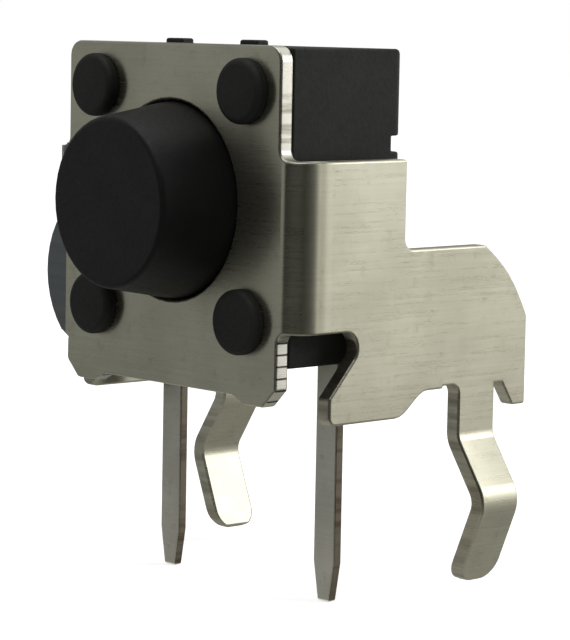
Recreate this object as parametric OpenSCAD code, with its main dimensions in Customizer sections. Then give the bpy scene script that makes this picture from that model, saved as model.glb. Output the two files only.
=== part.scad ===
// Right-angle pushbutton switch: a tactile switch held upright by a bent sheet bracket with snap-in legs.
// Millimetres. X runs to the right, Y away from the finger, Z up from the board's top face.
// The origin is the middle of the row of terminal pins, on the board's top face.

/* [Board pattern] */
// distance between the two terminal pins
terminal_pitch = 4.5; // [4.2:0.1:4.8]
// plate's front face to the row of terminal pins
plate_setback = 2.17; // [2.05:0.01:2.4]
// how far the pins reach below the board's top face
pin_reach = 3.6; // [2.5:0.1:5]

/* [Housing] */
// width of the moulded case
housing_width = 6.1; // [5.9:0.05:6.4]
// height of the moulded case
housing_height = 5.85; // [5.6:0.05:6.4]
// back of the plate to the back of the case
housing_depth = 2.82; // [2.6:0.02:3.4]
// underside of the case above the board
stand_off = 1.05; // [0.95:0.05:1.4]
// rounding of the case's rear edges
housing_edge_radius = 0.2; // [0.1:0.05:0.3]
// distance between neighbouring heat-staked heads
stake_pitch = 4.24; // [4.1:0.02:4.4]
// shank of a stake
stake_diameter = 0.7; // [0.5:0.05:0.8]
// head of a stake
stake_head_diameter = 1.22; // [1:0.02:1.3]
// head of a stake in front of the plate
stake_head_height = 0.26; // [0.15:0.01:0.35]
// centre distance of the two moulded pads on top
pad_pitch = 2.14; // [1.8:0.02:3]
// width of a moulded pad
pad_width = 0.5; // [0.3:0.05:1]
// depth of a moulded pad, front to back
pad_depth = 0.3; // [0.2:0.05:0.8]
// back of the plate to the front of a pad
pad_setback = 0.66; // [0.2:0.02:1.6]
// height of a moulded pad
pad_height = 0.12; // [0.06:0.01:0.2]
// height of the mould notch in the rear edges
notch_height = 0.3; // [0.2:0.05:0.5]
// depth of the mould notch
notch_depth = 0.28; // [0.1:0.02:0.4]
// notch's lower side above the push axis
notch_rise = 1; // [0.6:0.1:1.6]

/* [Plunger] */
// stem's diameter where it leaves the plate
plunger_base_diameter = 3.72; // [3.3:0.02:3.9]
// stem's diameter at its face
plunger_face_diameter = 3.24; // [2.8:0.02:3.4]
// stem's length in front of the plate
plunger_length = 1.52; // [1:0.02:8]
// rounding round the face
plunger_edge_radius = 0.12; // [0.05:0.01:0.25]
// diameter of the flange that holds the plunger in
flange_diameter = 4.4; // [4.2:0.05:4.6]
// thickness of that flange
flange_thickness = 0.6; // [0.4:0.05:0.7]
// diameter of the nub that presses the dome
nub_diameter = 1.3; // [0.8:0.1:2]

/* [Contacts] */
// diameter of the snap dome
dome_diameter = 3.8; // [3.4:0.05:4]
// thickness of the dome
dome_stock = 0.07; // [0.05:0.01:0.1]
// width of the dome between its two straight sides
dome_width = 2.8; // [2.2:0.1:3.2]
// thickness of the seal film
film_stock = 0.05; // [0.03:0.01:0.08]
// width of a terminal pin
pin_width = 0.56; // [0.4:0.02:0.7]
// thickness of the lead frames
lead_stock = 0.2; // [0.15:0.01:0.3]
// width of a pin at its tip
pin_tip_width = 0.3; // [0.2:0.02:0.4]
// length of the pin's tapered tip
pin_taper = 0.75; // [0.4:0.05:1]
// centre contact's diameter
centre_contact_diameter = 1.2; // [0.8:0.1:1.6]
// width of the arms of the lead frames inside the case
arm_width = 0.6; // [0.4:0.05:0.8]

/* [Bracket plate] */
// thickness of the sheet
stock = 0.32; // [0.25:0.01:0.4]
// plate's top edge above the case
plate_rise = 0.04; // [0:0.01:0.2]
// plate's feet above the board
plate_gap = 0.32; // [0.15:0.01:0.5]
// height of the plate's two feet
plate_foot_height = 0.15; // [0.05:0.01:0.3]
// width of each of those feet
plate_foot_width = 1.05; // [0.6:0.05:1.6]
// rounding of the plate's upper corners
plate_corner_radius = 0.3; // [0.2:0.05:0.6]
// corner cut off each of the plate's feet
plate_foot_chamfer = 0.34; // [0.1:0.02:0.5]
// how far the rounded lobe on the plate's left edge stands out
lobe_reach = 0.65; // [0.3:0.05:0.8]
// length of that lobe along the edge
lobe_span = 2.68; // [2:0.02:3]
// middle of that lobe above the board
lobe_height = 2.4; // [2.2:0.05:2.8]
// inside radius of the bends
bend_radius = 0.18; // [0.1:0.01:0.25]
// fillet between the plate's side edges and the ends of the bends
ear_fillet = 0.2; // [0.1:0.02:0.3]

/* [Bracket wings] */
// room between a wing and the case's rear edge
wing_gap = 0.18; // [0.1:0.01:0.5]
// how far the wings are bent past square, in degrees
wing_toe_in = 1.2; // [0:0.1:2.5]
// top of the wings above the board
wing_top = 4.86; // [4.6:0.01:5.1]
// length of the wings' tall part behind the bend
wing_tall_length = 2.28; // [1.9:0.01:2.8]
// height of the wings' ledge above the board
ledge_height = 3.17; // [2.8:0.01:3.5]
// rounding of the corner over the ledge
ledge_fillet = 0.22; // [0.1:0.02:0.4]
// length of the wings to the end of the ledge
ledge_length = 4.52; // [4.2:0.01:4.9]
// length of the wings to the rear edge
wing_length = 5.76; // [5.5:0.01:6.2]
// height of the sloping rear corner
slope_height = 1.42; // [1:0.01:1.6]
// how far the slope bulges past a straight line
slope_bulge = 0.1; // [0.02:0.01:0.2]
// top of the slot under the bend, above the board
slot_top = 1.71; // [1.6:0.01:2]
// height of that slot
slot_height = 0.62; // [0.4:0.01:0.8]
// length of that slot behind the bend
slot_length = 1.05; // [0.8:0.01:1.3]
// front foot's front edge behind the bend
foot_setback = 0.34; // [0.2:0.01:0.5]
// length of the front foot's sole
foot_length = 1.78; // [1.5:0.01:2]
// front edge of the front foot
foot_nose_height = 0.5; // [0.3:0.01:0.7]
// rounding under that front edge
foot_nose_radius = 0.16; // [0.05:0.01:0.25]
// length of the swept edge behind the front foot
foot_sweep = 0.86; // [0.5:0.01:1]
// lower edge of the wings between the foot and the leg
belly_height = 0.47; // [0.3:0.01:0.5]
// length of the rear foot's sole
rear_foot_length = 0.37; // [0.25:0.01:0.5]
// length of the sloping edge in front of the rear foot
rear_foot_slope = 0.31; // [0.1:0.01:0.4]

/* [Snap-in legs] */
// middle of the legs behind the terminal pins
leg_setback = 2.69; // [2.5:0.01:2.8]
// width of a leg
leg_width = 1.02; // [0.8:0.02:1.2]
// gap that frees a leg at its front
leg_front_gap = 0.44; // [0.2:0.02:0.6]
// top of that gap above the board
leg_root_height = 0.52; // [0.5:0.01:0.8]
// rounding in the corner of that gap
leg_root_radius = 0.2; // [0.05:0.01:0.3]
// straight part of a leg below the board's top face
leg_straight = 0.4; // [0.2:0.02:0.8]
// outward slope of a leg, in degrees
leg_flare = 33; // [20:1:40]
// length of that slope
leg_flare_length = 0.95; // [0.6:0.01:1.2]
// inward slope of a leg's end, in degrees
leg_return = 22; // [10:1:30]
// length of that end
leg_return_length = 1.5; // [1:0.02:1.8]
// radius of the leg's bends, at the middle of the sheet
leg_bend_radius = 0.5; // [0.3:0.02:0.7]
// rounding of the leg's tip
leg_tip_radius = 0.4; // [0.2:0.02:0.5]

/* [Fits] */
// room between the stem and the plate
stem_clearance = 0.05; // [0.03:0.01:0.08]
// room between a stake and its hole
stake_clearance = 0.03; // [0.02:0.01:0.06]
// room round the flange
flange_clearance = 0.06; // [0.04:0.01:0.12]
// room round the dome
dome_clearance = 0.08; // [0.05:0.01:0.15]
// play along the push axis between pieces that touch at rest
rest_play = 0.02; // [0.01:0.005:0.03]
// travel of the plunger
travel = 0.25; // [0.15:0.01:0.28]
// room left under the dome when it is pressed right down
snap_reserve = 0.04; // [0.02:0.01:0.1]

/* [Hidden] */
$fn = 64;
// cuts run past the faces they open by this much
overrun = 0.1;
// points along one bend of a leg, along the wing's slope and along the sweep behind its foot
bend_steps = 8;
slope_steps = 8;
sweep_steps = 8;
// heading at which the slot's round end runs into the nose of the front foot
slot_lip_heading = 45;

// heights
housing_top = stand_off + housing_height;
axis_height = stand_off + housing_height / 2;
plate_top = housing_top + plate_rise;
belly_top = plate_gap + plate_foot_height;

// places along the push axis, front to back
plate_front = -plate_setback;
plate_back = plate_front + stock;
housing_back = plate_back + housing_depth;
floor_face = -lead_stock / 2;
dome_rise = travel + dome_stock + snap_reserve;
film_seat = floor_face - dome_rise - rest_play;
film_front = film_seat - film_stock;
flange_front = plate_back + rest_play;
flange_back = flange_front + flange_thickness;
nub_tip = film_front - rest_play;

// inside of the case
flange_room = flange_diameter + 2 * flange_clearance;
well_diameter = dome_diameter + 2 * dome_clearance;

// the lobe is a segment of a circle
lobe_radius = (lobe_span * lobe_span / 4 + lobe_reach * lobe_reach) / (2 * lobe_reach);

// bends
bend_outside = bend_radius + stock;
bend_y = plate_front + bend_outside;
wing_run = housing_back - bend_y - bend_radius * sin(wing_toe_in);
bend_x = housing_width / 2 + wing_gap + wing_run * tan(wing_toe_in) - bend_radius * cos(wing_toe_in);
slot_radius = slot_height / 2;
// middle of a leg, measured along its wing from the bend
leg_middle = (leg_setback - bend_y - (bend_radius + stock / 2) * sin(wing_toe_in)) / cos(wing_toe_in);

// a waste corner: what is left of a square when its quarter circle is kept
module corner_waste(r) {
    difference() {
        translate([-overrun, -overrun]) square(r + overrun);
        translate([r, r]) circle(r);
    }
}

// a solid drawn from the front, from the plane y0 back to the plane y1
module from_front(y0, y1) {
    translate([0, y1, 0]) rotate([90, 0, 0]) linear_extrude(y1 - y0) children();
}

// a solid of revolution about the push axis, drawn as radius and depth along Y
module about_axis() {
    translate([0, 0, axis_height]) rotate([-90, 0, 0]) rotate_extrude() children();
}

// Case

module at_stakes() {
    for (sx = [-1, 1], sz = [-1, 1])
        translate([sx * stake_pitch / 2, 0, axis_height + sz * stake_pitch / 2]) children();
}

// side of the case, with its two rear edges rounded
module housing_side() {
    difference() {
        translate([plate_back, stand_off]) square([housing_depth, housing_height]);
        translate([housing_back, stand_off]) rotate(90) corner_waste(housing_edge_radius);
        translate([housing_back, housing_top]) rotate(180) corner_waste(housing_edge_radius);
    }
}

// plan of the case, with its two rear edges rounded
module housing_plan() {
    difference() {
        translate([-housing_width / 2, plate_back]) square([housing_width, housing_depth]);
        translate([-housing_width / 2, housing_back]) rotate(-90) corner_waste(housing_edge_radius);
        translate([housing_width / 2, housing_back]) rotate(180) corner_waste(housing_edge_radius);
    }
}

// melted head of a stake: a low button with a rounded rim
module stake_head() {
    rim = stake_head_height / 2;
    flat = stake_head_diameter / 2 - rim;
    rotate([90, 0, 0]) rotate_extrude() {
        square([flat, stake_head_height]);
        square([flat + rim, rim]);
        translate([flat, rim]) circle(rim);
    }
}

module stakes() {
    at_stakes() {
        translate([0, plate_back + overrun, 0])
            rotate([90, 0, 0]) cylinder(d = stake_diameter, h = stock + overrun);
        translate([0, plate_front, 0]) intersection() {
            stake_head();
            translate([-stake_head_diameter, -stake_head_diameter, -stake_head_diameter])
                cube([2 * stake_head_diameter, stake_head_diameter, 2 * stake_head_diameter]);
        }
    }
}

module case_block() {
    intersection() {
        translate([-housing_width / 2, 0, 0])
            rotate([90, 0, 90]) linear_extrude(housing_width) housing_side();
        translate([0, 0, stand_off]) linear_extrude(housing_height) housing_plan();
    }
}

// stepped round room for the flange, the film and the dome
module contact_room() {
    about_axis() {
        translate([0, plate_back - overrun]) square([flange_room / 2, film_seat - plate_back + overrun]);
        translate([0, film_seat - overrun]) square([well_diameter / 2, floor_face - film_seat + overrun]);
    }
}

module top_pads() {
    for (sx = [-1, 1])
        translate([sx * pad_pitch / 2 - pad_width / 2, plate_back + pad_setback, housing_top - pad_height])
            cube([pad_width, pad_depth, 2 * pad_height]);
}

module mould_notches() {
    for (sx = [-1, 1])
        translate([sx * housing_width / 2, housing_back, axis_height + notch_rise])
            translate([-notch_depth, -notch_depth, 0])
                cube([2 * notch_depth, 2 * notch_depth, notch_height]);
}

module housing() {
    color("#2b2b29") difference() {
        union() {
            case_block();
            stakes();
            top_pads();
        }
        contact_room();
        mould_notches();
        lead_left();
        lead_right();
    }
}

// Lead frames

// one pin, from its tapered tip up into the case, drawn from the front
module pin_outline(top) {
    straight_end = -pin_reach + pin_taper;
    polygon([
        [-pin_tip_width / 2, -pin_reach],
        [pin_tip_width / 2, -pin_reach],
        [pin_width / 2, straight_end],
        [pin_width / 2, top],
        [-pin_width / 2, top],
        [-pin_width / 2, straight_end]
    ]);
}

// outer contact: two arms under the dome's upper and lower edges
module lead_left() {
    arm_offset = dome_diameter / 2 - arm_width / 2;
    arm_length = terminal_pitch / 2 + dome_width / 4;
    from_front(-lead_stock / 2, lead_stock / 2) {
        translate([-terminal_pitch / 2, 0]) pin_outline(axis_height + arm_offset);
        for (sz = [-1, 1])
            translate([-terminal_pitch / 2, axis_height + sz * arm_offset - arm_width / 2])
                square([arm_length, arm_width]);
    }
}

// centre contact: one arm to a round pad under the dome's middle
module lead_right() {
    from_front(-lead_stock / 2, lead_stock / 2) {
        translate([terminal_pitch / 2, 0]) pin_outline(axis_height);
        translate([0, axis_height - arm_width / 2])
            square([terminal_pitch / 2 + pin_width / 2, arm_width]);
        translate([0, axis_height]) circle(d = centre_contact_diameter);
    }
}

module terminal_left() {
    color("#b3b1a6") lead_left();
}

module terminal_right() {
    color("#c2c0b4") lead_right();
}

// Dome and film

module contact_dome() {
    half = dome_diameter / 2;
    crown = (half * half + dome_rise * dome_rise) / (2 * dome_rise);
    color("#d8d4c4") intersection() {
        translate([0, floor_face - dome_rise + crown, axis_height]) difference() {
            sphere(crown);
            sphere(crown - dome_stock);
        }
        translate([-dome_width / 2, floor_face - dome_rise - overrun, axis_height - half])
            cube([dome_width, dome_rise + overrun, dome_diameter]);
    }
}

module cover_film() {
    film_radius = flange_diameter / 2;
    color("#c98a3a") about_axis()
        translate([0, film_front]) square([film_radius, film_stock]);
}

// Plunger

// half section: stem with its draft and rounded face, flange and nub
module plunger_section() {
    face = plate_front - plunger_length;
    face_radius = plunger_face_diameter / 2;
    base_radius = plunger_base_diameter / 2;
    polygon([
        [0, face + plunger_edge_radius],
        [face_radius, face + plunger_edge_radius],
        [base_radius, plate_front],
        [base_radius, flange_front],
        [flange_diameter / 2, flange_front],
        [flange_diameter / 2, flange_back],
        [nub_diameter / 2, flange_back],
        [nub_diameter / 2, nub_tip],
        [0, nub_tip]
    ]);
    translate([0, face]) square([face_radius - plunger_edge_radius, 2 * plunger_edge_radius]);
    intersection() {
        translate([face_radius - plunger_edge_radius, face + plunger_edge_radius])
            circle(plunger_edge_radius);
        translate([0, face]) square([face_radius, plunger_edge_radius]);
    }
}

module plunger() {
    color("#1d1d1d") about_axis() plunger_section();
}

// Bracket

// flat lobe that stands out of the plate's left edge, in front of the bend there
module lobe_outline() {
    edge = -housing_width / 2;
    intersection() {
        translate([edge - lobe_reach + lobe_radius, lobe_height]) circle(lobe_radius);
        translate([edge - lobe_reach, lobe_height - lobe_span / 2]) square([lobe_reach + overrun, lobe_span]);
    }
}

// front plate with its ears for the two bends
module plate_outline() {
    half = housing_width / 2;
    foot_inside = half - plate_foot_width;
    difference() {
        union() {
            polygon([
                [-half, plate_top],
                [-half, plate_gap + plate_foot_chamfer],
                [-half + plate_foot_chamfer, plate_gap],
                [-foot_inside - plate_foot_height, plate_gap],
                [-foot_inside + plate_foot_height, belly_top],
                [foot_inside - plate_foot_height, belly_top],
                [foot_inside + plate_foot_height, plate_gap],
                [half - plate_foot_chamfer, plate_gap],
                [half, plate_gap + plate_foot_chamfer],
                [half, plate_top]
            ]);
            translate([-bend_x, slot_top]) square([2 * bend_x, wing_top - slot_top]);
            lobe_outline();
        }
        translate([-half, plate_top]) rotate(-90) corner_waste(plate_corner_radius);
        translate([half, plate_top]) rotate(180) corner_waste(plate_corner_radius);
        translate([0, axis_height]) circle(d = plunger_base_diameter + 2 * stem_clearance);
    }
}

module plate() {
    difference() {
        from_front(plate_front, plate_back) plate_outline();
        at_stakes()
            translate([0, plate_back + overrun, 0])
                rotate([90, 0, 0])
                    cylinder(d = stake_diameter + 2 * stake_clearance, h = stock + 2 * overrun);
    }
}

// point on the bulging slope of the wing's rear corner, s running from 0 to 1
function slope_point(s) =
    [ledge_length + s * (wing_length - ledge_length) + slope_bulge * sin(180 * s),
     ledge_height - s * slope_height + slope_bulge * sin(180 * s)];

// point on the sweep from the front foot's sole up to the wing's lower edge, s running from 0 to 1
function sweep_point(s) =
    [foot_setback + foot_length + s * foot_sweep, belly_height * (1 - cos(180 * s)) / 2];

// a wing laid flat: distance behind the bend, and height above the board
module wing_outline() {
    slot_middle = [slot_length - slot_radius, slot_top - slot_radius];
    slot_lip = slot_middle + slot_radius * [sin(slot_lip_heading), -cos(slot_lip_heading)];
    rear_foot_front = wing_length - rear_foot_length;
    leg_front = leg_middle - leg_width / 2;
    difference() {
        polygon(concat(
            [[0, wing_top], [wing_tall_length, wing_top], [wing_tall_length, ledge_height]],
            [for (i = [0 : slope_steps]) slope_point(i / slope_steps)],
            [
                [wing_length, 0],
                [rear_foot_front, 0],
                [rear_foot_front - rear_foot_slope, belly_height]
            ],
            [for (i = [0 : sweep_steps]) sweep_point(1 - i / sweep_steps)],
            [
                [foot_setback, 0],
                [foot_setback, foot_nose_height],
                slot_lip,
                [slot_middle[0], slot_top],
                [0, slot_top]
            ]
        ));
        translate(slot_middle) circle(slot_radius);
        translate([foot_setback, 0]) corner_waste(foot_nose_radius);
        translate([leg_front - leg_front_gap, 0]) square([leg_front_gap, leg_root_height]);
    }
    translate([wing_tall_length, ledge_height]) corner_waste(ledge_fillet);
    translate([leg_front, leg_root_height]) rotate(180) corner_waste(leg_root_radius);
}

// middle line of a leg seen from the front: [outward, height, heading] at each station
leg_root = [0, leg_root_height + leg_straight, 0];
leg_knee = [leg_bend_radius, -leg_straight];
leg_knee_end = leg_knee - leg_bend_radius * [cos(leg_flare), sin(leg_flare)];
leg_shin_end = leg_knee_end + leg_flare_length * [sin(leg_flare), -cos(leg_flare)];
leg_heel = leg_shin_end - leg_bend_radius * [cos(leg_flare), sin(leg_flare)];
leg_heel_end = leg_heel + leg_bend_radius * [cos(leg_return), -sin(leg_return)];
leg_tip = leg_heel_end + leg_return_length * [-sin(leg_return), -cos(leg_return)];

function knee_station(h) = let (p = leg_knee - leg_bend_radius * [cos(h), sin(h)]) [p[0], p[1], h];
function heel_station(h) = let (p = leg_heel + leg_bend_radius * [cos(h), sin(h)]) [p[0], p[1], h];

leg_stations = concat(
    [leg_root],
    [for (i = [0 : bend_steps]) knee_station(leg_flare * i / bend_steps)],
    [for (i = [0 : bend_steps]) heel_station(leg_flare - (leg_flare + leg_return) * i / bend_steps)],
    [[leg_tip[0], leg_tip[1], -leg_return]]
);

function beside(s, d) = [s[0] + d * cos(s[2]), s[1] + d * sin(s[2])];

module leg_profile() {
    last = len(leg_stations) - 1;
    polygon(concat(
        [for (s = leg_stations) beside(s, stock / 2)],
        [for (i = [0 : last]) beside(leg_stations[last - i], -stock / 2)]
    ));
}

// a leg seen from the side, with its rounded tip
module leg_side() {
    tip = leg_tip[1];
    difference() {
        translate([-leg_width / 2, tip]) square([leg_width, leg_root[1] - tip + overrun]);
        translate([-leg_width / 2, tip]) corner_waste(leg_tip_radius);
        translate([leg_width / 2, tip]) rotate(90) corner_waste(leg_tip_radius);
    }
}

module leg() {
    reach = leg_bend_radius + leg_flare_length + leg_return_length;
    intersection() {
        translate([0, leg_width / 2, 0]) rotate([90, 0, 0]) linear_extrude(leg_width) leg_profile();
        translate([-reach, 0, 0]) rotate([90, 0, 90]) linear_extrude(2 * reach) leg_side();
    }
}

// sheet rolled round the bend, from height z0 to z1
module rolled(z0, z1) {
    rotate([0, 0, -90]) rotate_extrude(angle = 90 + wing_toe_in)
        translate([bend_radius, z0]) square([stock, z1 - z0]);
}

// the fillets that lead from the plate's side edges into the ends of a bend, seen from the front
module ear_corner(z, up) {
    translate([housing_width / 2, z]) mirror([0, up ? 0 : 1]) corner_waste(ear_fillet);
}

module ear_fillets() {
    intersection() {
        union() {
            translate([bend_x, bend_y, 0]) rolled(slot_top - ear_fillet, wing_top + ear_fillet);
            from_front(plate_front, plate_back)
                translate([housing_width / 2 - overrun, slot_top - ear_fillet])
                    square([bend_x - housing_width / 2 + overrun, wing_top - slot_top + 2 * ear_fillet]);
        }
        from_front(plate_front, plate_front + bend_outside) {
            ear_corner(wing_top, true);
            ear_corner(slot_top, false);
        }
    }
}

module wing() {
    ear_fillets();
    translate([bend_x, bend_y, 0]) {
        rolled(slot_top, wing_top);
        rotate([0, 0, wing_toe_in]) translate([bend_radius, 0, 0]) {
            rotate([90, 0, 90]) linear_extrude(stock) wing_outline();
            translate([stock / 2, leg_middle, 0]) leg();
        }
    }
}

module bracket() {
    color("#a9a797") {
        plate();
        wing();
        mirror([1, 0, 0]) wing();
    }
}

housing();
bracket();
plunger();
cover_film();
contact_dome();
terminal_left();
terminal_right();
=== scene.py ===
# %% [markdown]
# # A right-angle pushbutton switch
#
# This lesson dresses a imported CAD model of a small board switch: a black moulded case, a round black
# plunger, a bent tin-plated bracket with two snap-in legs, and two flat pins. The shapes come from the
# CAD frame and stay as they are. What is left for Blender is what the eye reads as material: rolled and
# sheared metal, moulded plastic, small edge radii, and the light of a white product table.

# %% Load the frame
import math

import bpy
from mathutils import Matrix, Vector


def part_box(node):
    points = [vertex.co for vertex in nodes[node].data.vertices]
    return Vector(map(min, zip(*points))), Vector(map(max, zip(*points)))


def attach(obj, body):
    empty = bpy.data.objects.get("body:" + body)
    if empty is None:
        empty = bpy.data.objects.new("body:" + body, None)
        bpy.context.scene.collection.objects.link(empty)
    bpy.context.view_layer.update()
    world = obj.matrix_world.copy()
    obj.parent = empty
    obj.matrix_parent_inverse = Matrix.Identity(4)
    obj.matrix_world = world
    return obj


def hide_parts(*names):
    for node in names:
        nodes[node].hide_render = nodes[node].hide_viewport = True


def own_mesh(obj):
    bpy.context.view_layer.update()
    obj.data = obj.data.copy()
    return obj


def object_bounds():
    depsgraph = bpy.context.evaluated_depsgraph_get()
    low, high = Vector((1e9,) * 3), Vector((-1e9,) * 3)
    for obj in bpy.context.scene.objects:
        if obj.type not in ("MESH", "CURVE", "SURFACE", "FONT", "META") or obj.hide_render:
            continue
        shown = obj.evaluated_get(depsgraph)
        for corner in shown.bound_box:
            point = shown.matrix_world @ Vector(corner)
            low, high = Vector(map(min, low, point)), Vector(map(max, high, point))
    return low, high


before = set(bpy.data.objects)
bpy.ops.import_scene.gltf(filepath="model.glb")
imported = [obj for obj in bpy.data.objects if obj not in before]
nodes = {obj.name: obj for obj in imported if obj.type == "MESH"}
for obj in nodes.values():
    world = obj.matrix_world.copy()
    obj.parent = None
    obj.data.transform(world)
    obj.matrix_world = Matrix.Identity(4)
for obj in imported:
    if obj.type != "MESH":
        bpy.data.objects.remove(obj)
cad_low, cad_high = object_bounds()
MM = 0.001
print("nodes:", sorted(nodes))
print("CAD box in mm:", [round(v / MM, 2) for v in (*cad_low, *cad_high)])

# %% [markdown]
# ## The camera
#
# The photograph was taken close up, so its perspective is strong: the right wing looks taller than the
# left edge of the plate. A camera is described here by where it stands (azimuth, elevation, distance
# from a point inside the case), a small roll, and its focal length in pixels of the 570 x 640 frame.
# The middle of the lens does not fall on the middle of the frame, so the sensor is shifted a little.

# %% Directions round the object
def direction(azimuth, elevation):
    """A unit vector: azimuth 0 points to the front (-Y), 90 to the right (+X), elevation up from level."""
    a, e = math.radians(azimuth), math.radians(elevation)
    return Vector((math.sin(a) * math.cos(e), -math.cos(a) * math.cos(e), math.sin(e)))


print("azimuth 90 points to", [round(v, 3) for v in direction(90, 0)])

# %% Camera
PHOTO_WIDTH, PHOTO_HEIGHT = 570, 640
AZIMUTH, ELEVATION, ROLL = 47.9, 5.43, 1.0
DISTANCE = 54.04 * MM
FOCAL_PIXELS = 2782
LENS_MIDDLE = (244.6, 283.1)
LOOK_AT = Vector((0, -0.21, 2.30)) * MM
SENSOR = 36.0
CLIP_NEAR, CLIP_FAR = 1 * MM, 5.0

camera_data = bpy.data.cameras.new("photo_camera")
camera = bpy.data.objects.new("photo_camera", camera_data)
bpy.context.scene.collection.objects.link(camera)
backward = direction(AZIMUTH, ELEVATION)
right = direction(AZIMUTH + 90, 0)
up = backward.cross(right)
roll = Matrix.Rotation(math.radians(ROLL), 3, backward)
turn = Matrix((roll @ right, roll @ up, backward)).transposed()
camera.matrix_world = Matrix.Translation(LOOK_AT + backward * DISTANCE) @ turn.to_4x4()
camera_data.sensor_fit = "HORIZONTAL"
camera_data.sensor_width = SENSOR
camera_data.lens = FOCAL_PIXELS * SENSOR / PHOTO_WIDTH
camera_data.shift_x = (PHOTO_WIDTH / 2 - LENS_MIDDLE[0]) / PHOTO_WIDTH
camera_data.shift_y = (LENS_MIDDLE[1] - PHOTO_HEIGHT / 2) / PHOTO_WIDTH
camera_data.clip_start, camera_data.clip_end = CLIP_NEAR, CLIP_FAR
bpy.context.scene.camera = camera
print("camera at", [round(v / MM, 1) for v in camera.location], "mm, lens", round(camera_data.lens, 1))

# %% [markdown]
# ## Colours and nodes
#
# Colours are written as sRGB hex values, as a picture editor shows them, and turned to linear light in
# one place. One small function adds a node with its settings, its values and its links. A colour ramp
# is only one more setting there: a list of places with a colour at each.

# %% Helpers for materials
def linear(hex_colour):
    """An sRGB hex colour as linear RGBA."""
    channels = [int(hex_colour[i:i + 2], 16) / 255 for i in (1, 3, 5)]
    return [c / 12.92 if c <= 0.04045 else ((c + 0.055) / 1.055) ** 2.4 for c in channels] + [1.0]


def add(tree, kind, values=None, links=None, stops=(), **settings):
    """Adds a node of a kind with its settings, its socket values, its links and its ramp stops."""
    node = tree.nodes.new(kind)
    for key, value in settings.items():
        setattr(node, key, value)
    for key, value in (values or {}).items():
        node.inputs[key].default_value = value
    for key, socket in (links or {}).items():
        tree.links.new(socket, node.inputs[key])
    for index, (place, colour) in enumerate(stops):
        if index == len(node.color_ramp.elements):
            node.color_ramp.elements.new(place)
        node.color_ramp.elements[index].position = place
        node.color_ramp.elements[index].color = linear(colour)
    return node


def new_material(name):
    """An empty node material, with its tree and its surface output."""
    material = bpy.data.materials.new(name)
    material.use_nodes = True
    tree = material.node_tree
    tree.nodes.clear()
    return material, tree, tree.nodes.new("ShaderNodeOutputMaterial")


print("mid grey #808080 in linear light:", round(linear("#808080")[0], 3))

# %% [markdown]
# ## Places on the bracket
#
# The bracket was punched out of flat strip and then folded. Its plate, folds, wings and the flat lobe
# beside the left fold need tones and edges of their own; the lobe's darker, bluish tone is painted shade.
# These places could be painted as masks on the mesh. They are found here by where a point is, from sizes
# of the CAD frame, so that one material serves the whole stamping and the mask also works in a modifier.

# %% Sizes of the bracket
PLATE_HALF_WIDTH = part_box("housing")[1].x
PLATE_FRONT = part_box("bracket")[0].y
FOLD_END = PLATE_FRONT + 0.55 * MM
LOBE_START = -PLATE_HALF_WIDTH - 0.05 * MM


def front_masks(tree, at):
    """What lies in front of the end of the folds, and the lobe there, as masks of a split position."""
    in_front = add(tree, "ShaderNodeMath", {1: FOLD_END}, {0: at.outputs["Y"]}, operation="LESS_THAN")
    left = add(tree, "ShaderNodeMath", {1: LOBE_START}, {0: at.outputs["X"]}, operation="LESS_THAN")
    lobe = add(tree, "ShaderNodeMath", links={0: left.outputs[0], 1: in_front.outputs[0]},
               operation="MULTIPLY")
    return in_front.outputs[0], lobe.outputs[0]


print("plate front at", round(PLATE_FRONT / MM, 2), "mm, half width", round(PLATE_HALF_WIDTH / MM, 2), "mm")

# %% [markdown]
# ## Where the strip was cut
#
# The rolled faces are tin plated, but where the punch went through, the cut shows bright shear marks
# across the thickness on the plate and duller ones on the wings and legs. Low on the plate's sides they
# are even, like the rungs of a ladder. Cut faces are told from rolled ones by which way they face.

# %% Shear marks
SHEAR_MARK, SHEAR_STRETCH = 0.2 * MM, 0.06


def shear_marks(tree, place):
    """Uneven marks across a cut edge: noise that is drawn out level, through the thickness."""
    drawn_out = add(tree, "ShaderNodeMapping", {"Scale": (SHEAR_STRETCH, SHEAR_STRETCH, 1)},
                    {"Vector": place})
    uneven = add(tree, "ShaderNodeTexNoise", {"Scale": 1 / SHEAR_MARK, "Detail": 3.0, "Roughness": 0.6},
                 {"Vector": drawn_out.outputs["Vector"]})
    return uneven.outputs["Fac"]


def face_sizes(tree, facing):
    """How far a face looks along each axis, forward or backward alike."""
    both_ways = add(tree, "ShaderNodeVectorMath", links={0: facing}, operation="ABSOLUTE")
    return add(tree, "ShaderNodeSeparateXYZ", links={"Vector": both_ways.outputs[0]})


print("shear marks", SHEAR_MARK / MM, "mm apart")

# %% Cut edges of the bracket
LADDER_TOP = 1.75 * MM
LADDER_STEP = 0.22 * MM
# A band texture repeats every 2 pi / 20 of its own units.
BAND_LENGTH = 2 * math.pi / 20
PLATE_MARGIN = 0.04 * MM
LOOKS_UP, LOOKS_FORWARD, LOOKS_ASIDE = 0.85, 0.6, 0.5


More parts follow.
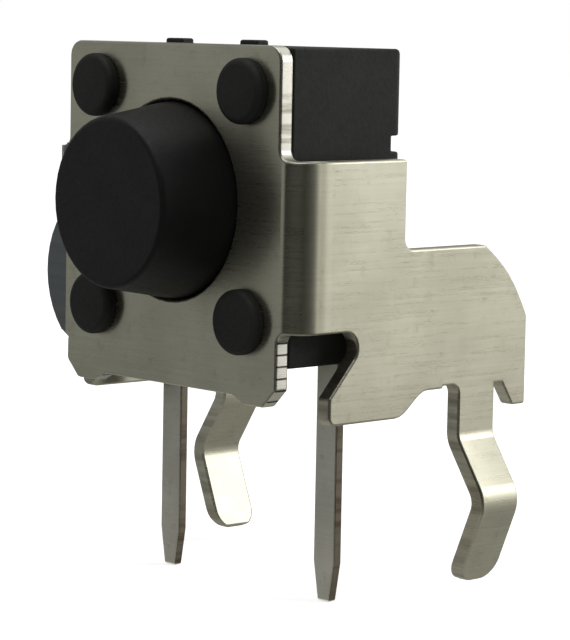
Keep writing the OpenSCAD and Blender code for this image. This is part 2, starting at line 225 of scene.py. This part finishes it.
def bracket_cuts_and_lobe_shade(tree, place, facing):
    """The bracket's cut edges and the lobe's painted shade: a mask, a pattern and the pattern's colours for
    each.
    """
    uneven = shear_marks(tree, place)
    rungs = add(tree, "ShaderNodeTexWave",
                {"Scale": BAND_LENGTH / LADDER_STEP, "Distortion": 0.6, "Detail": 1.0},
                {"Vector": place}, bands_direction="Z")
    at = add(tree, "ShaderNodeSeparateXYZ", links={"Vector": place})
    towards = face_sizes(tree, facing)
    in_front, lobe = front_masks(tree, at)
    aside = add(tree, "ShaderNodeMath", links={0: at.outputs["X"]}, operation="ABSOLUTE")
    inside = add(tree, "ShaderNodeMath", {1: PLATE_HALF_WIDTH + PLATE_MARGIN}, {0: aside.outputs[0]},
                 operation="LESS_THAN")
    level = add(tree, "ShaderNodeMath", {1: LOOKS_UP}, {0: towards.outputs["Z"]}, operation="GREATER_THAN")
    edge_on = add(tree, "ShaderNodeMath", {1: LOOKS_FORWARD}, {0: towards.outputs["Y"]},
                  operation="LESS_THAN")
    outline = add(tree, "ShaderNodeMath", links={0: inside.outputs[0], 1: level.outputs[0]},
                  operation="MAXIMUM")
    front_edge = add(tree, "ShaderNodeMath", links={0: in_front, 1: edge_on.outputs[0]}, operation="MULTIPLY")
    plate_cut = add(tree, "ShaderNodeMath", links={0: front_edge.outputs[0], 1: outline.outputs[0]},
                    operation="MULTIPLY")
    low = add(tree, "ShaderNodeMath", {1: LADDER_TOP}, {0: at.outputs["Z"]}, operation="LESS_THAN")
    ladder = add(tree, "ShaderNodeMath", links={0: plate_cut.outputs[0], 1: low.outputs[0]},
                 operation="MULTIPLY")
    across = add(tree, "ShaderNodeMath", {1: LOOKS_ASIDE}, {0: towards.outputs["X"]}, operation="LESS_THAN")
    wing_cut = add(tree, "ShaderNodeMath", links={0: across.outputs[0], 1: in_front}, operation="SUBTRACT",
                   use_clamp=True)
    # The lobe's darker, bluish tone is painted shade: it stands in for the shade of a rounded sheet, which
    # the flat lobe lacks.
    return [(lobe, uneven, [(0.2, "#6d7274"), (0.8, "#7e8281")]),
            (wing_cut.outputs[0], uneven, [(0.36, "#a9a594"), (0.6, "#d6d2c0")]),
            (plate_cut.outputs[0], uneven, [(0.34, "#a8a494"), (0.46, "#e2dfd3")]),
            (ladder.outputs[0], rungs.outputs["Fac"], [(0.02, "#4c493d"), (0.12, "#f0ede2")])]


print("rungs", LADDER_STEP / MM, "mm apart below", LADDER_TOP / MM, "mm")

# %% Cut edges of the pins
def pin_cuts(tree, place, facing):
    """The sides of the flat pins, where the punch left the brown alloy bare."""
    towards = face_sizes(tree, facing)
    side = add(tree, "ShaderNodeMath", {1: LOOKS_ASIDE}, {0: towards.outputs["Y"]}, operation="LESS_THAN")
    return [(side.outputs[0], shear_marks(tree, place), [(0.36, "#5c5043"), (0.5, "#746c5f")])]


print("pin sides are faces with less than", LOOKS_ASIDE, "forward")

# %% [markdown]
# ## Where the strip was folded
#
# The outside of a fold is stretched as it goes round, so the plating there loses its gloss. The roughness
# rises towards the end of the fold and falls again on the flat wing.

# %% Dull folds
FOLD_FADE = 0.35 * MM
FOLD_DULLING = 0.32


def fold_dulling(tree, place):
    """Extra roughness where the outside of each fold was stretched and its plating went dull."""
    at = add(tree, "ShaderNodeSeparateXYZ", links={"Vector": place})
    aside = add(tree, "ShaderNodeMath", links={0: at.outputs["X"]}, operation="ABSOLUTE")
    outside = add(tree, "ShaderNodeMath", {1: PLATE_HALF_WIDTH}, {0: aside.outputs[0]},
                  operation="GREATER_THAN")
    from_fold = add(tree, "ShaderNodeMath", {1: FOLD_END}, {0: at.outputs["Y"]}, operation="SUBTRACT")
    distance = add(tree, "ShaderNodeMath", links={0: from_fold.outputs[0]}, operation="ABSOLUTE")
    stretch = add(tree, "ShaderNodeMapRange",
                  {"From Min": FOLD_FADE, "From Max": 0.0, "To Min": 0.0, "To Max": FOLD_DULLING},
                  {"Value": distance.outputs[0]}, interpolation_type="SMOOTHSTEP")
    return add(tree, "ShaderNodeMath", links={0: stretch.outputs["Result"], 1: outside.outputs[0]},
               operation="MULTIPLY").outputs[0]


print("folds dulled over", FOLD_FADE / MM, "mm")

# %% [markdown]
# ## Tin-plated strip
#
# The bracket is cold-rolled steel and the pins are copper alloy, both plated with tin on the strip.
# Rolling leaves fine parallel lines that lie level on the plate and on both wings: they smear a mirror
# image up and down but hardly sideways, which is what the anisotropy of the shader does. Tin adds a warm,
# slightly cloudy tone. A brushed-metal picture could be wrapped round the sheet, but noise stretched along
# the rolling direction needs no unwrapping and never repeats. Real rolling lines are about 0.01 mm apart:
# they are drawn six times coarser here, so that they show.

# %% Tones of plated strip
ROLLING_LINE, ROLLING_STRETCH = 0.06 * MM, 0.03
CLOUD = 1.6 * MM
HANDLING_MARK = 0.3 * MM
LINE_SHARE, MARK_SHARE = 0.4, 0.4


def rolling_lines(tree, place):
    """Fine level lines from the rolling mill."""
    drawn_out = add(tree, "ShaderNodeMapping", {"Scale": (ROLLING_STRETCH, ROLLING_STRETCH, 1)},
                    {"Vector": place})
    lines = add(tree, "ShaderNodeTexNoise", {"Scale": 1 / ROLLING_LINE, "Detail": 4.0, "Roughness": 0.65},
                {"Vector": drawn_out.outputs["Vector"]})
    return lines.outputs["Fac"]


def strip_tone(tree, place, lines, face, cloud):
    """The colour of a rolled face: clouds in the tin, rolling lines, and dull marks from handling."""
    clouds = add(tree, "ShaderNodeTexNoise", {"Scale": 1 / CLOUD, "Detail": 5.0, "Roughness": 0.6},
                 {"Vector": place})
    marks = add(tree, "ShaderNodeTexNoise", {"Scale": 1 / HANDLING_MARK, "Detail": 4.0, "Roughness": 0.7},
                {"Vector": place})
    tone = add(tree, "ShaderNodeValToRGB", links={"Fac": clouds.outputs["Fac"]},
               stops=[(0.38, cloud), (0.62, face)])
    line_tone = add(tree, "ShaderNodeValToRGB", links={"Fac": lines},
                    stops=[(0.3, "#dededa"), (0.68, "#ffffff")])
    lined = add(tree, "ShaderNodeMix", {"Factor": LINE_SHARE},
                {"A": tone.outputs["Color"], "B": line_tone.outputs["Color"]},
                data_type="RGBA", blend_type="MULTIPLY")
    mark_tone = add(tree, "ShaderNodeValToRGB", links={"Fac": marks.outputs["Fac"]},
                    stops=[(0.3, "#d6d3c8"), (0.42, "#ffffff")])
    marked = add(tree, "ShaderNodeMix", {"Factor": MARK_SHARE},
                 {"A": lined.outputs["Result"], "B": mark_tone.outputs["Color"]},
                 data_type="RGBA", blend_type="MULTIPLY")
    return marked.outputs["Result"]


print("rolling lines", ROLLING_LINE / MM, "mm apart, clouds", CLOUD / MM, "mm across")

# %% Tin-plated materials
# Most of a noise texture's values lie between these two.
NOISE_LOW, NOISE_HIGH = 0.3, 0.7
LESS_ROUGH, MORE_ROUGH = -0.02, 0.03
LINE_RELIEF, LINE_DEPTH = 0.025, 0.004 * MM
# Matte tin is not a perfect mirror: a few hundredths of its light are scattered by its haze.
METAL_SHARE = 0.97


def plated_strip(name, face, cloud, roughness, cuts, dulling=None):
    """Rolled and tin-plated strip: its tones, its roughness, the cuts that the punch left and, on the
    bracket, the lobe's painted shade.
    """
    material, tree, output = new_material(name)
    coordinates = add(tree, "ShaderNodeTexCoord")
    place, facing = coordinates.outputs["Object"], coordinates.outputs["Normal"]
    lines = rolling_lines(tree, place)
    colour = strip_tone(tree, place, lines, face, cloud)
    for mask, pattern, stops in cuts(tree, place, facing):
        cut_and_shade_tone = add(tree, "ShaderNodeValToRGB", links={"Fac": pattern}, stops=stops)
        colour = add(tree, "ShaderNodeMix",
                     links={"Factor": mask, "A": colour, "B": cut_and_shade_tone.outputs["Color"]},
                     data_type="RGBA").outputs["Result"]
    rough = add(tree, "ShaderNodeMapRange",
                {"From Min": NOISE_LOW, "From Max": NOISE_HIGH, "To Min": roughness + LESS_ROUGH,
                 "To Max": roughness + MORE_ROUGH}, {"Value": lines}).outputs["Result"]
    if dulling:
        rough = add(tree, "ShaderNodeMath", links={0: rough, 1: dulling(tree, place)}).outputs[0]
    relief = add(tree, "ShaderNodeBump", {"Strength": LINE_RELIEF, "Distance": LINE_DEPTH}, {"Height": lines})
    level = add(tree, "ShaderNodeTangent", direction_type="RADIAL", axis="Z")
    shader = add(tree, "ShaderNodeBsdfPrincipled",
                 {"Metallic": METAL_SHARE, "Anisotropic": 0.85, "Anisotropic Rotation": 0.25},
                 {"Base Color": colour, "Roughness": rough, "Normal": relief.outputs["Normal"],
                  "Tangent": level.outputs["Tangent"]})
    tree.links.new(shader.outputs["BSDF"], output.inputs["Surface"])
    return material


bracket_tin = plated_strip("tin_plated_steel", "#cfccb9", "#c3c0ad", 0.28, bracket_cuts_and_lobe_shade, fold_dulling)
# The pins' tin is a lighter copy of the bracket's: painted light, which brightens the pins where they face
# the grey screen.
pin_tin = plated_strip("tin_plated_pin_alloy", "#e2dfd4", "#d2cfc4", 0.36, pin_cuts)
print("metals:", bracket_tin.name, pin_tin.name)

# %% [markdown]
# ## Moulded plastic
#
# The case is glass-filled nylon and the plunger is PBT, both black. Moulded black plastic is never quite
# black: the surface mirrors a little of the room, and the spark-eroded mould leaves a fine grain. The
# seal film inside is amber polyimide, smooth as it came off the roll.

# %% Moulded plastic materials
MOULD_GRAIN, GRAIN_DEPTH = 0.07 * MM, 0.008 * MM
FLOW = 0.9 * MM
ROUGHNESS_SPREAD = 0.06


def moulded_plastic(name, colour, shade, roughness, grain):
    """Plastic with a slow drift of tone from the flow in the mould and a fine grain on its skin."""
    material, tree, output = new_material(name)
    place = add(tree, "ShaderNodeTexCoord").outputs["Object"]
    fine = add(tree, "ShaderNodeTexNoise", {"Scale": 1 / MOULD_GRAIN, "Detail": 3.0}, {"Vector": place})
    flow = add(tree, "ShaderNodeTexNoise", {"Scale": 1 / FLOW, "Detail": 3.0}, {"Vector": place})
    tone = add(tree, "ShaderNodeValToRGB", links={"Fac": flow.outputs["Fac"]},
               stops=[(0.35, shade), (0.65, colour)])
    rough = add(tree, "ShaderNodeMapRange",
                {"From Min": NOISE_LOW, "From Max": NOISE_HIGH, "To Min": roughness - ROUGHNESS_SPREAD,
                 "To Max": roughness + ROUGHNESS_SPREAD}, {"Value": fine.outputs["Fac"]})
    relief = add(tree, "ShaderNodeBump", {"Strength": grain, "Distance": GRAIN_DEPTH},
                 {"Height": fine.outputs["Fac"]})
    shader = add(tree, "ShaderNodeBsdfPrincipled", {"IOR": 1.5, "Specular IOR Level": 0.35},
                 {"Base Color": tone.outputs["Color"], "Roughness": rough.outputs["Result"],
                  "Normal": relief.outputs["Normal"]})
    tree.links.new(shader.outputs["BSDF"], output.inputs["Surface"])
    return material


case_nylon = moulded_plastic("black_nylon_case", "#1f201d", "#191a17", 0.62, 0.5)
plunger_pbt = moulded_plastic("black_pbt_plunger", "#131313", "#0f0f0f", 0.5, 0.3)
film_polyimide = moulded_plastic("polyimide_film", "#b8772c", "#a86c26", 0.3, 0.1)
print("plastics:", case_nylon.name, plunger_pbt.name, film_polyimide.name)

# %% [markdown]
# ## Small radii and flat faces
#
# Every CAD piece keeps its mesh, and modifiers do the rest. A weld joins the split corners of the imported
# mesh, a dissolve takes out the needless edges on flat faces, and a very small bevel gives each edge the
# radius that stamping or moulding leaves, so that edges catch light. Two of the modifiers are made of
# nodes. The first marks the edges that the bevel rounds.

# %% Pick the sharp edges
SHARP = math.radians(28)


def modifier_group(name):
    """An empty modifier made of geometry nodes, and the mesh that comes into it."""
    group = bpy.data.node_groups.new(name, "GeometryNodeTree")
    group.interface.new_socket("Geometry", in_out="INPUT", socket_type="NodeSocketGeometry")
    group.interface.new_socket("Geometry", in_out="OUTPUT", socket_type="NodeSocketGeometry")
    return group, add(group, "NodeGroupInput").outputs[0]


pick_edges, mesh_in = modifier_group("pick_sharp_edges")
smoothed = add(pick_edges, "GeometryNodeSetShadeSmooth", links={"Geometry": mesh_in})
angle = add(pick_edges, "GeometryNodeInputMeshEdgeAngle")
sharp = add(pick_edges, "ShaderNodeMath", {1: SHARP}, {0: angle.outputs["Unsigned Angle"]},
            operation="GREATER_THAN")
# The thin ends of the left lobe have no room for a bevel, so its edges stay sharp.
position = add(pick_edges, "GeometryNodeInputPosition")
at = add(pick_edges, "ShaderNodeSeparateXYZ", links={0: position.outputs[0]})
_, lobe = front_masks(pick_edges, at)
rounded = add(pick_edges, "ShaderNodeMath", links={0: sharp.outputs[0], 1: lobe}, operation="SUBTRACT",
              use_clamp=True)
picked = add(pick_edges, "GeometryNodeStoreNamedAttribute", {"Name": "bevel_weight_edge"},
             {"Geometry": smoothed.outputs[0], "Value": rounded.outputs[0]}, data_type="FLOAT", domain="EDGE")
add(pick_edges, "NodeGroupOutput", links={0: picked.outputs[0]})
print("node group:", pick_edges.name)

# %% [markdown]
# The second modifier turns the normals of a smooth mesh towards its large flat faces. Without it, the
# smooth shading of a bevel or a bend would spill across the flat sheet and warp what it mirrors. Blender's
# own Weighted Normal modifier does nothing on faces this small in metres, so the weight is worked out
# here: each face pulls a corner's normal by the square of the area of the whole plane it lies in.

# %% Weigh the normals
SAME_PLANE = math.radians(0.5)
AREA_POWER = 2.0

weigh_normals, mesh_in = modifier_group("weigh_normals_by_area")
angle = add(weigh_normals, "GeometryNodeInputMeshEdgeAngle")
turns = add(weigh_normals, "ShaderNodeMath", {1: SAME_PLANE}, {0: angle.outputs["Unsigned Angle"]},
            operation="GREATER_THAN")
plane = add(weigh_normals, "GeometryNodeEdgesToFaceGroups", links={0: turns.outputs[0]})
area = add(weigh_normals, "GeometryNodeInputMeshFaceArea")
of_plane = add(weigh_normals, "GeometryNodeAccumulateField",
               links={"Value": area.outputs[0], "Group ID": plane.outputs[0]},
               data_type="FLOAT", domain="FACE")
square_mm = add(weigh_normals, "ShaderNodeMath", {1: MM ** 2}, {0: of_plane.outputs["Total"]},
                operation="DIVIDE")
weight = add(weigh_normals, "ShaderNodeMath", {1: AREA_POWER}, {0: square_mm.outputs[0]}, operation="POWER")
normal = add(weigh_normals, "GeometryNodeInputNormal")
pull = add(weigh_normals, "ShaderNodeVectorMath",
           links={0: normal.outputs["True Normal"], "Scale": weight.outputs[0]}, operation="SCALE")
of_faces = add(weigh_normals, "GeometryNodeFieldOnDomain", links={0: pull.outputs[0]},
               data_type="FLOAT_VECTOR", domain="FACE")
unit = add(weigh_normals, "ShaderNodeVectorMath", links={0: of_faces.outputs[0]}, operation="NORMALIZE")
weighed = add(weigh_normals, "GeometryNodeSetMeshNormal",
              links={"Mesh": mesh_in, "Custom Normal": unit.outputs[0]}, mode="FREE", domain="POINT")
add(weigh_normals, "NodeGroupOutput", links={0: weighed.outputs[0]})
print("node group:", weigh_normals.name)

# %% [markdown]
# ## Dressing the CAD pieces
#
# Each piece gets its finish, and each piece that shows gets its edge radius. The film and the dome are
# thin sheets inside the case, so they keep their plain edges. The bevel's own clamp is off, because the
# short edges at the bends would shrink every bevel of the piece to nothing.

# %% Assign the finishes and round the edges
FINISHES = {"housing": case_nylon, "bracket": bracket_tin, "plunger": plunger_pbt,
            "cover_film": film_polyimide, "contact_dome": pin_tin,
            "terminal_left": pin_tin, "terminal_right": pin_tin}
EDGE_RADIUS = {"housing": 0.04 * MM, "bracket": 0.05 * MM, "plunger": 0.02 * MM,
               "terminal_left": 0.03 * MM, "terminal_right": 0.03 * MM}
SPLIT_CORNER = 0.001 * MM


def round_edges(piece, radius):
    """Joins the split corners of a CAD piece, rounds its sharp edges and keeps its flat faces flat."""
    weld = piece.modifiers.new("weld", "WELD")
    weld.merge_threshold = SPLIT_CORNER
    flatten = piece.modifiers.new("flatten", "DECIMATE")
    flatten.decimate_type = "DISSOLVE"
    flatten.angle_limit = SAME_PLANE
    pick = piece.modifiers.new("pick", "NODES")
    pick.node_group = pick_edges
    edge = piece.modifiers.new("edge", "BEVEL")
    edge.width = radius
    edge.segments = 2
    edge.limit_method = "WEIGHT"
    edge.use_clamp_overlap = False
    edge.loop_slide = False
    flat = piece.modifiers.new("flat", "NODES")
    flat.node_group = weigh_normals


for name, material in FINISHES.items():
    piece = nodes[name]
    for material_slot in piece.material_slots:
        material_slot.material = material
    if name in EDGE_RADIUS:
        round_edges(piece, EDGE_RADIUS[name])
    print(name, "->", material.name, len(piece.data.polygons), "faces")

# %% [markdown]
# ## Stand-ins for the film and dome
#
# Inside the case the plunger's nub presses the seal film onto a sprung dome, which snaps nearly flat. The
# CAD pieces are rigid. Shape keys could bend them, but nobody sees them from outside, so a copy of each
# stands in for it on the switch body, and the original is hidden. The copies are not moved here; the shares
# below say how far each would flatten towards the contact floor. Flattened whole, the clamped rim of the
# film would go along with its middle, which it does not on the real switch.

# %% Copies of the film and dome
# The shares of their distance from the floor that are left at full travel: the nub then clears the film,
# and the film clears the dome.
SHARE_LEFT = {"contact_dome": 0.4, "cover_film": 0.46}

for name, share in SHARE_LEFT.items():
    pressed = bpy.data.objects.new("pressed_" + name, nodes[name].data.copy())
    bpy.context.scene.collection.objects.link(pressed)
    pressed.data.materials.clear()
    pressed.data.materials.append(FINISHES[name])
    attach(pressed, "switch_body")
    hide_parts(name)
    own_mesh(pressed)
    print(pressed.name, "flattens to", share)

# %% [markdown]
# ## Table and room
#
# The photograph has a white background. The table and the world show white to the camera, and metal
# mirrors that white too, while they light the object at a plain level. A brighter lamp could make the
# background white as well, but it would bleach the object, so Light Path tells the two uses apart.

# %% White world
ROOM_LEVEL = 0.45


def seen_or_mirrored(tree):
    """1 for rays that show the background, in the picture, in a mirror or through glass, else 0."""
    path = add(tree, "ShaderNodeLightPath")
    seen = add(tree, "ShaderNodeMath",
               links={0: path.outputs["Is Camera Ray"], 1: path.outputs["Is Glossy Ray"]},
               operation="MAXIMUM")
    return add(tree, "ShaderNodeMath", links={0: seen.outputs[0], 1: path.outputs["Is Transmission Ray"]},
               operation="MAXIMUM").outputs[0]


world = bpy.data.worlds.new("white_room")
bpy.context.scene.world = world
world.use_nodes = True
tree = world.node_tree
tree.nodes.clear()
room = add(tree, "ShaderNodeBackground", {"Color": linear("#ffffff"), "Strength": ROOM_LEVEL})
white = add(tree, "ShaderNodeBackground", {"Color": linear("#ffffff"), "Strength": 1.0})
mixed = add(tree, "ShaderNodeMixShader",
            links={0: seen_or_mirrored(tree), 1: room.outputs[0], 2: white.outputs[0]})
add(tree, "ShaderNodeOutputWorld", links={"Surface": mixed.outputs[0]})
print("world:", world.name, "lights at", ROOM_LEVEL)

# %% Table
TABLE_HALF = 400 * MM
TABLE_GLOW = 0.66
table_height = cad_low.z - 0.02 * MM


def stand(name, points, faces):
    """A mesh of the studio, which is not part of the object."""
    mesh = bpy.data.meshes.new(name)
    mesh.from_pydata(points, [], faces)
    piece = bpy.data.objects.new(name, mesh)
    bpy.context.scene.collection.objects.link(piece)
    return piece


def level_card(name, half, height):
    """A level square card round the object."""
    corners = [(-half, -half, height), (half, -half, height), (half, half, height), (-half, half, height)]
    return stand(name, corners, [(0, 1, 2, 3)])


table = level_card("table", TABLE_HALF, table_height)
white_table, tree, output = new_material("white_table")
diffuse = add(tree, "ShaderNodeBsdfDiffuse", {"Color": linear("#e8e8e8")})
glow = add(tree, "ShaderNodeEmission", {"Color": linear("#ffffff"), "Strength": TABLE_GLOW})
both = add(tree, "ShaderNodeAddShader", links={0: diffuse.outputs[0], 1: glow.outputs[0]})
mixed = add(tree, "ShaderNodeMixShader",
            links={0: seen_or_mirrored(tree), 1: diffuse.outputs[0], 2: both.outputs[0]})
tree.links.new(mixed.outputs[0], output.inputs["Surface"])
table.data.materials.append(white_table)
print("table at", round(table_height / MM, 2), "mm")

# %% [markdown]
# ## Cards for the metal to mirror
#
# Metal is only as lively as what it mirrors, so a few stands that the camera cannot see are set round the
# object, as a photographer would set black and grey cards: a dark screen where the camera stands, which
# fades to grey towards the right wing, a dim mat in front of it, a grey screen on the left, and a mat below
# whose darker middle is the object's painted shadow on the table, with lighter and darker rings further
# out. Without them every metal face would show the same white.

# %% Stands that only shiny surfaces see
FADE = 90 * MM
MAT_LIFT = 0.05 * MM
SCREEN_STEPS = 12


def reflection_only(piece, stops, by="SPHERICAL"):
    """Colours a stand by nearness, 0 at the fade's end and 1 at the object, or RADIAL, by a full turn."""
    material, tree, output = new_material(piece.name)
    place = add(tree, "ShaderNodeTexCoord").outputs["Object"]
    shrunk = add(tree, "ShaderNodeMapping", {"Scale": (1 / FADE, 1 / FADE, 1 / FADE)}, {"Vector": place})
    share = add(tree, "ShaderNodeTexGradient", links={"Vector": shrunk.outputs["Vector"]}, gradient_type=by)
    tone = add(tree, "ShaderNodeValToRGB", links={"Fac": share.outputs["Fac"]}, stops=stops)
    plain = add(tree, "ShaderNodeEmission", {"Strength": 1.0}, {"Color": tone.outputs["Color"]})
    tree.links.new(plain.outputs[0], output.inputs["Surface"])
    piece.data.materials.append(material)
    piece.visible_camera = piece.visible_shadow = piece.visible_diffuse = False


def curved_screen(name, rings, first_azimuth, last_azimuth, stops, by="SPHERICAL"):
    """A screen round the object, through rings of a radius and a height above the table."""
    points, faces = [], []
    for step in range(SCREEN_STEPS + 1):
        outward = direction(first_azimuth + (last_azimuth - first_azimuth) * step / SCREEN_STEPS, 0)
        points += [(outward.x * radius, outward.y * radius, table_height + height)
                   for radius, height in rings]
    for step in range(SCREEN_STEPS):
        for ring in range(len(rings) - 1):
            corner = step * len(rings) + ring
            faces.append((corner, corner + 1, corner + 1 + len(rings), corner + len(rings)))
    reflection_only(stand(name, points, faces), stops, by)


# The mat stands in for the table as metal mirrors it: its darker middle is the object's painted shadow on the
# table, and lighter and darker rings lie further out.
reflection_only(level_card("grey_mat", FADE, table_height + MAT_LIFT),
                [(0.0, "#c6c6bf"), (0.33, "#b0b0a9"), (0.5, "#787873"), (0.6, "#bcbcb6"), (0.69, "#f0f0ea"),
                 (0.8, "#9c9c97")])
print("mat: grey_mat,", FADE / MM, "mm to each side")

# %% Screens
MAT_NEAR, MAT_FAR = (7 * MM, 0.1 * MM), (40 * MM, 1.1 * MM)
SCREEN_RINGS = [(70 * MM, 2 * MM), (70 * MM, 130 * MM)]
GREY_START, DARK_START, DARK_END = -150, -24, 122


def turn_share(azimuth):
    """Where an azimuth lies on a radial gradient, which starts at the left."""
    return azimuth / 360 + 0.25


curved_screen("front_mat", [MAT_NEAR, MAT_FAR], DARK_START, DARK_END, [(0.0, "#424240"), (1.0, "#424240")])
curved_screen("dark_screen", [MAT_FAR, *SCREEN_RINGS], DARK_START, DARK_END,
              [(turn_share(60), "#0a070b"), (turn_share(76), "#3a3a39"), (turn_share(96), "#606060"),
               (turn_share(116), "#8a8a88")], "RADIAL")
curved_screen("grey_screen", [MAT_NEAR, *SCREEN_RINGS], GREY_START, DARK_START,
              [(0.22, "#999a99"), (0.5, "#828382")])
print("screens: front_mat, dark_screen, grey_screen")

# %% [markdown]
# ## Lamps
#
# Three soft lamps light the object. The key lamp behind on the right lights plastic and table, but it would
# burn out the legs if they mirrored it, so metal doesn't see it. A smaller glint lamp close to it gives the
# legs their bright knees instead. The fill lamp lifts the front and the top.

# %% Lamps
def soft_lamp(name, azimuth, elevation, distance, size, watts):
    """A square lamp that looks at the object."""
    towards_lamp = direction(azimuth, elevation)
    data = bpy.data.lights.new(name, "AREA")
    data.size = size
    data.energy = watts
    lamp = bpy.data.objects.new(name, data)
    bpy.context.scene.collection.objects.link(lamp)
    lamp.matrix_world = (Matrix.Translation(LOOK_AT + towards_lamp * distance)
                         @ towards_lamp.to_track_quat("Z", "Y").to_matrix().to_4x4())
    print(name, watts, "W")
    return lamp


key_lamp = soft_lamp("key_lamp", azimuth=139, elevation=28, distance=160 * MM, size=70 * MM, watts=0.09)
key_lamp.visible_glossy = False
soft_lamp("glint_lamp", azimuth=140, elevation=21, distance=160 * MM, size=50 * MM, watts=0.026)
soft_lamp("fill_lamp", azimuth=20, elevation=60, distance=200 * MM, size=150 * MM, watts=0.08)

# %% [markdown]
# ## Colour management
#
# The Standard view transform shows colours as they are written. The bevels take away from edges and add
# nothing.

# %% Colour management
bpy.context.scene.view_settings.view_transform = "Standard"
